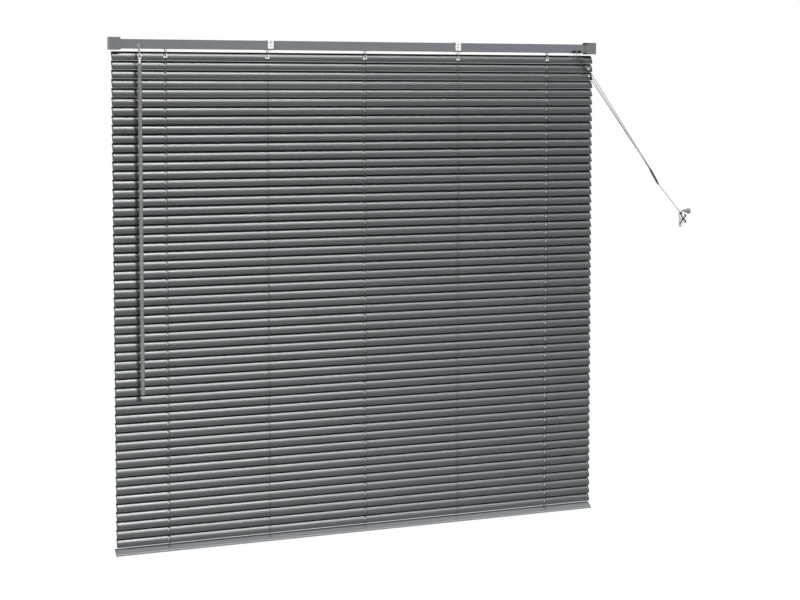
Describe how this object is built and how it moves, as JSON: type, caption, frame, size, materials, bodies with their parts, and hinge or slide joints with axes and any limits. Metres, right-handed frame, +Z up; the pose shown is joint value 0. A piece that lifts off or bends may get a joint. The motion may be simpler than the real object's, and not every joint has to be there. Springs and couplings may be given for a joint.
{
  "type": "aluminium venetian blind",
  "caption": "Grey aluminium venetian blind: headrail in box brackets, closed slats on cord ladders, tilt wand on the left, pull cord to a wall cleat on the right.",
  "frame": {"origin": "centre of the wall screw pattern of the two end brackets, on the wall plane", "axes": "+X to the right as seen from the room, -Y into the room, +Y into the wall, +Z up"},
  "size_m": [1.6344, 0.0455, 1.2873],
  "materials": {
    "rail_paint": "satin grey paint",
    "bracket_paint": "satin grey paint",
    "slat_aluminium": "anthracite lacquer, half gloss",
    "bottom_paint": "satin grey paint",
    "grey_plastic": "matt",
    "white_plastic": "matt",
    "cleat_plastic": "gloss",
    "button_plastic": "matt",
    "clear_plastic": "clear",
    "wand_plastic": "grey, slightly clear",
    "hook_plastic": "white",
    "stem_plastic": "grey",
    "connector_plastic": "matt",
    "tassel_plastic": "grey",
    "lock_plastic": "matt",
    "gear_plastic": "matt",
    "steel": "plain",
    "brass": "plain",
    "ladder_cord": "braided",
    "lift_cord": "braided",
    "pull_cord": "braided",
    "winding_cord": "braided"
  },
  "bodies": {
    "frame": {"bracket_l": "bracket_paint", "bracket_r": "bracket_paint", "cord_bead_1": "clear_plastic", "cord_bead_2": "clear_plastic", "cord_cleat": "cleat_plastic", "cord_connector": "connector_plastic", "cord_lock_body": "lock_plastic", "cord_tassel": "tassel_plastic", "cord_winding": "winding_cord", "cradle_1": "white_plastic", "cradle_2": "white_plastic", "cradle_3": "white_plastic", "cradle_4": "white_plastic", "cradle_5": "white_plastic", "door_pin_l": "steel", "door_pin_r": "steel", "headrail": "rail_paint", "headrail_end_cap_l": "grey_plastic", "headrail_end_cap_r": "grey_plastic", "ladder_1": "ladder_cord", "ladder_2": "ladder_cord", "ladder_3": "ladder_cord", "ladder_4": "ladder_cord", "ladder_5": "ladder_cord", "lift_cord_1": "lift_cord", "lift_cord_2": "lift_cord", "lift_cord_3": "lift_cord", "mid_support_l": "white_plastic", "mid_support_r": "white_plastic", "pull_cord_1": "pull_cord", "pull_cord_2": "pull_cord", "pull_cord_3": "pull_cord", "pull_cord_main": "pull_cord", "slat_clip_1": "white_plastic", "slat_clip_2": "white_plastic", "slat_clip_3": "white_plastic", "slat_clip_4": "white_plastic", "slat_clip_5": "white_plastic", "slats": "slat_aluminium", "tilter_housing": "white_plastic"},
    "door_left": {"bracket_door_l": "bracket_paint"},
    "door_right": {"bracket_door_r": "bracket_paint"},
    "tilt_shaft": {"tilt_rod": "steel", "tilt_gear": "gear_plastic"},
    "worm": {"worm_stem": "stem_plastic"},
    "wand": {"wand_hook": "hook_plastic", "wand": "wand_plastic", "wand_end_cap": "wand_plastic"},
    "bottom": {"bottom_rail": "bottom_paint", "bottom_rail_cap_l": "grey_plastic", "bottom_rail_cap_r": "grey_plastic", "ladder_button_1": "button_plastic", "ladder_button_2": "button_plastic", "ladder_button_3": "button_plastic", "ladder_button_4": "button_plastic", "ladder_button_5": "button_plastic"},
    "lock_roller_body": {"lock_roller": "steel"},
    "guide_pulley_body": {"guide_pulley": "brass"}
  },
  "joints": [
    {"name": "door_left_hinge", "type": "hinge", "parent": "frame", "child": "door_left", "pos_m": [-0.6505, -0.0275, 0.015], "axis": [-1, 0, 0], "range_deg": [0, 110]},
    {"name": "door_right_hinge", "type": "hinge", "parent": "frame", "child": "door_right", "pos_m": [0.6505, -0.0275, 0.015], "axis": [-1, 0, 0], "range_deg": [0, 110]},
    {"name": "wand_turn", "type": "hinge", "parent": "frame", "child": "wand", "pos_m": [-0.593, -0.03993, -0.02624], "axis": [0, 0, -1], "range_deg": [-96, 1984]},
    {"name": "worm_turn", "type": "hinge", "parent": "frame", "child": "worm", "pos_m": [-0.593, -0.02143, 0.0058], "axis": [0, -0.5, -0.866], "range_deg": [-96, 1984]},
    {"name": "rod_turn", "type": "hinge", "parent": "frame", "child": "tilt_shaft", "pos_m": [-0.593, -0.0145, 0.0018], "axis": [-1, 0, 0], "range_deg": [-6, 124]},
    {"name": "lift", "type": "slide", "parent": "frame", "child": "bottom", "axis": [0, 0, 1], "range_m": [0, 1.11], "deforming": ["ladder_1", "ladder_2", "ladder_3", "ladder_4", "ladder_5", "lift_cord_1", "lift_cord_2", "lift_cord_3", "slats"]},
    {"name": "lock_roller_slide", "type": "slide", "parent": "frame", "child": "lock_roller_body", "axis": [0.9578, 0, 0.2873], "range_m": [0, 0.004]},
    {"name": "guide_pulley_turn", "type": "hinge", "parent": "frame", "child": "guide_pulley_body", "pos_m": [0.5868, -0.0155, -0.0012], "axis": [0, 1, 0], "continuous": true}
  ],
  "couplings": [
    {"joint": "worm_turn", "follows": "wand_turn", "ratio": 1},
    {"joint": "rod_turn", "follows": "wand_turn", "ratio": 0.0625}
  ]
}
